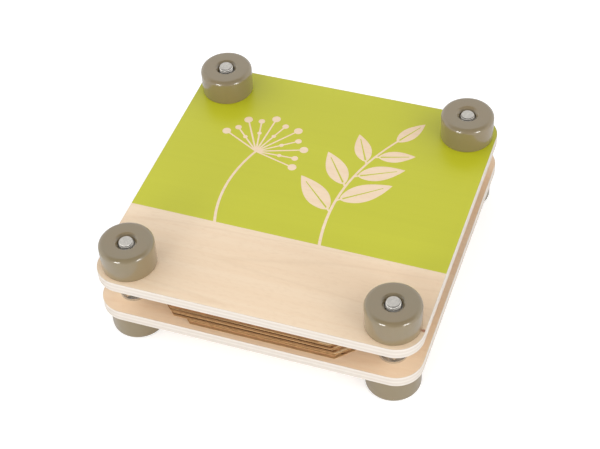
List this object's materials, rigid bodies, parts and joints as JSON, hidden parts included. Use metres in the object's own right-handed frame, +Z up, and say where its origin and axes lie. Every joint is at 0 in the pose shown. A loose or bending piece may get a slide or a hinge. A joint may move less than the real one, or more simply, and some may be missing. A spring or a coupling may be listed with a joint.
{
  "type": "flower press",
  "caption": "Square flower press: plywood boards on corner bolts, drawn together by round screw-down knobs over a stack of corrugated cardboard and blotting paper.",
  "frame": {"origin": "on the floor, midway between the four feet", "axes": "+X to the right, +Y to the back, +Z up; the bare strip of the top board is at the front, -Y"},
  "size_m": [0.18, 0.18, 0.0638],
  "materials": {
    "plywood": "sanded, clear matt varnish",
    "printed_plywood": "sanded, screen printed, matt",
    "taupe_lacquer": "gloss lacquer",
    "zinc_steel": "bright zinc plated",
    "insert_steel": "zinc plated",
    "corrugated_cardboard": "kraft, matt",
    "blotting_paper": "uncoated, matt"
  },
  "bodies": {
    "base": {"bottom_board": "plywood", "foot_front_left": "taupe_lacquer", "foot_front_right": "taupe_lacquer", "foot_back_left": "taupe_lacquer", "foot_back_right": "taupe_lacquer", "bolt_front_left": "zinc_steel", "bolt_front_right": "zinc_steel", "bolt_back_left": "zinc_steel", "bolt_back_right": "zinc_steel", "washers": "zinc_steel", "nuts": "zinc_steel", "cardboard_sheet_1": "corrugated_cardboard", "blotting_paper_1": "blotting_paper"},
    "top_board": {"top_board": "printed_plywood"},
    "knob_front_left": {"knob_front_left": "taupe_lacquer", "knob_insert_front_left": "insert_steel"},
    "knob_front_right": {"knob_front_right": "taupe_lacquer", "knob_insert_front_right": "insert_steel"},
    "knob_back_left": {"knob_back_left": "taupe_lacquer", "knob_insert_back_left": "insert_steel"},
    "knob_back_right": {"knob_back_right": "taupe_lacquer", "knob_insert_back_right": "insert_steel"},
    "sheets_2": {"blotting_paper_2": "blotting_paper", "cardboard_sheet_2": "corrugated_cardboard", "blotting_paper_3": "blotting_paper"},
    "sheets_3": {"blotting_paper_4": "blotting_paper", "cardboard_sheet_3": "corrugated_cardboard", "blotting_paper_5": "blotting_paper"},
    "sheets_4": {"blotting_paper_6": "blotting_paper", "cardboard_sheet_4": "corrugated_cardboard", "blotting_paper_7": "blotting_paper"},
    "sheets_5": {"blotting_paper_8": "blotting_paper", "cardboard_sheet_5": "corrugated_cardboard"}
  },
  "joints": [
    {"name": "knob_front_left_turn", "type": "hinge", "parent": "top_board", "child": "knob_front_left", "pos_m": [-0.073, -0.073, 0.0469], "axis": [0, 0, 1], "range_deg": [0, 8640]},
    {"name": "top_board_lift", "type": "slide", "parent": "base", "child": "top_board", "axis": [0, 0, 1], "range_m": [0, 0.03]},
    {"name": "knob_front_right_turn", "type": "hinge", "parent": "top_board", "child": "knob_front_right", "pos_m": [0.073, -0.073, 0.0469], "axis": [0, 0, 1], "range_deg": [0, 8640]},
    {"name": "knob_back_left_turn", "type": "hinge", "parent": "top_board", "child": "knob_back_left", "pos_m": [-0.073, 0.073, 0.0469], "axis": [0, 0, 1], "range_deg": [0, 8640]},
    {"name": "knob_back_right_turn", "type": "hinge", "parent": "top_board", "child": "knob_back_right", "pos_m": [0.073, 0.073, 0.0469], "axis": [0, 0, 1], "range_deg": [0, 8640]},
    {"name": "sheets_2_lift", "type": "slide", "parent": "base", "child": "sheets_2", "axis": [0, 0, 1], "range_m": [0, 0.006]},
    {"name": "sheets_3_lift", "type": "slide", "parent": "base", "child": "sheets_3", "axis": [0, 0, 1], "range_m": [0, 0.012]},
    {"name": "sheets_4_lift", "type": "slide", "parent": "base", "child": "sheets_4", "axis": [0, 0, 1], "range_m": [0, 0.018]},
    {"name": "sheets_5_lift", "type": "slide", "parent": "base", "child": "sheets_5", "axis": [0, 0, 1], "range_m": [0, 0.024]}
  ],
  "couplings": [
    {"joint": "knob_front_right_turn", "follows": "knob_front_left_turn", "ratio": 1},
    {"joint": "knob_back_left_turn", "follows": "knob_front_left_turn", "ratio": 1},
    {"joint": "knob_back_right_turn", "follows": "knob_front_left_turn", "ratio": 1},
    {"joint": "top_board_lift", "follows": "knob_front_left_turn", "m_per_rad": 0.00019894},
    {"joint": "sheets_2_lift", "follows": "knob_front_left_turn", "m_per_rad": 0.000039788},
    {"joint": "sheets_3_lift", "follows": "knob_front_left_turn", "m_per_rad": 0.000079577},
    {"joint": "sheets_4_lift", "follows": "knob_front_left_turn", "m_per_rad": 0.00011937},
    {"joint": "sheets_5_lift", "follows": "knob_front_left_turn", "m_per_rad": 0.00015915}
  ]
}
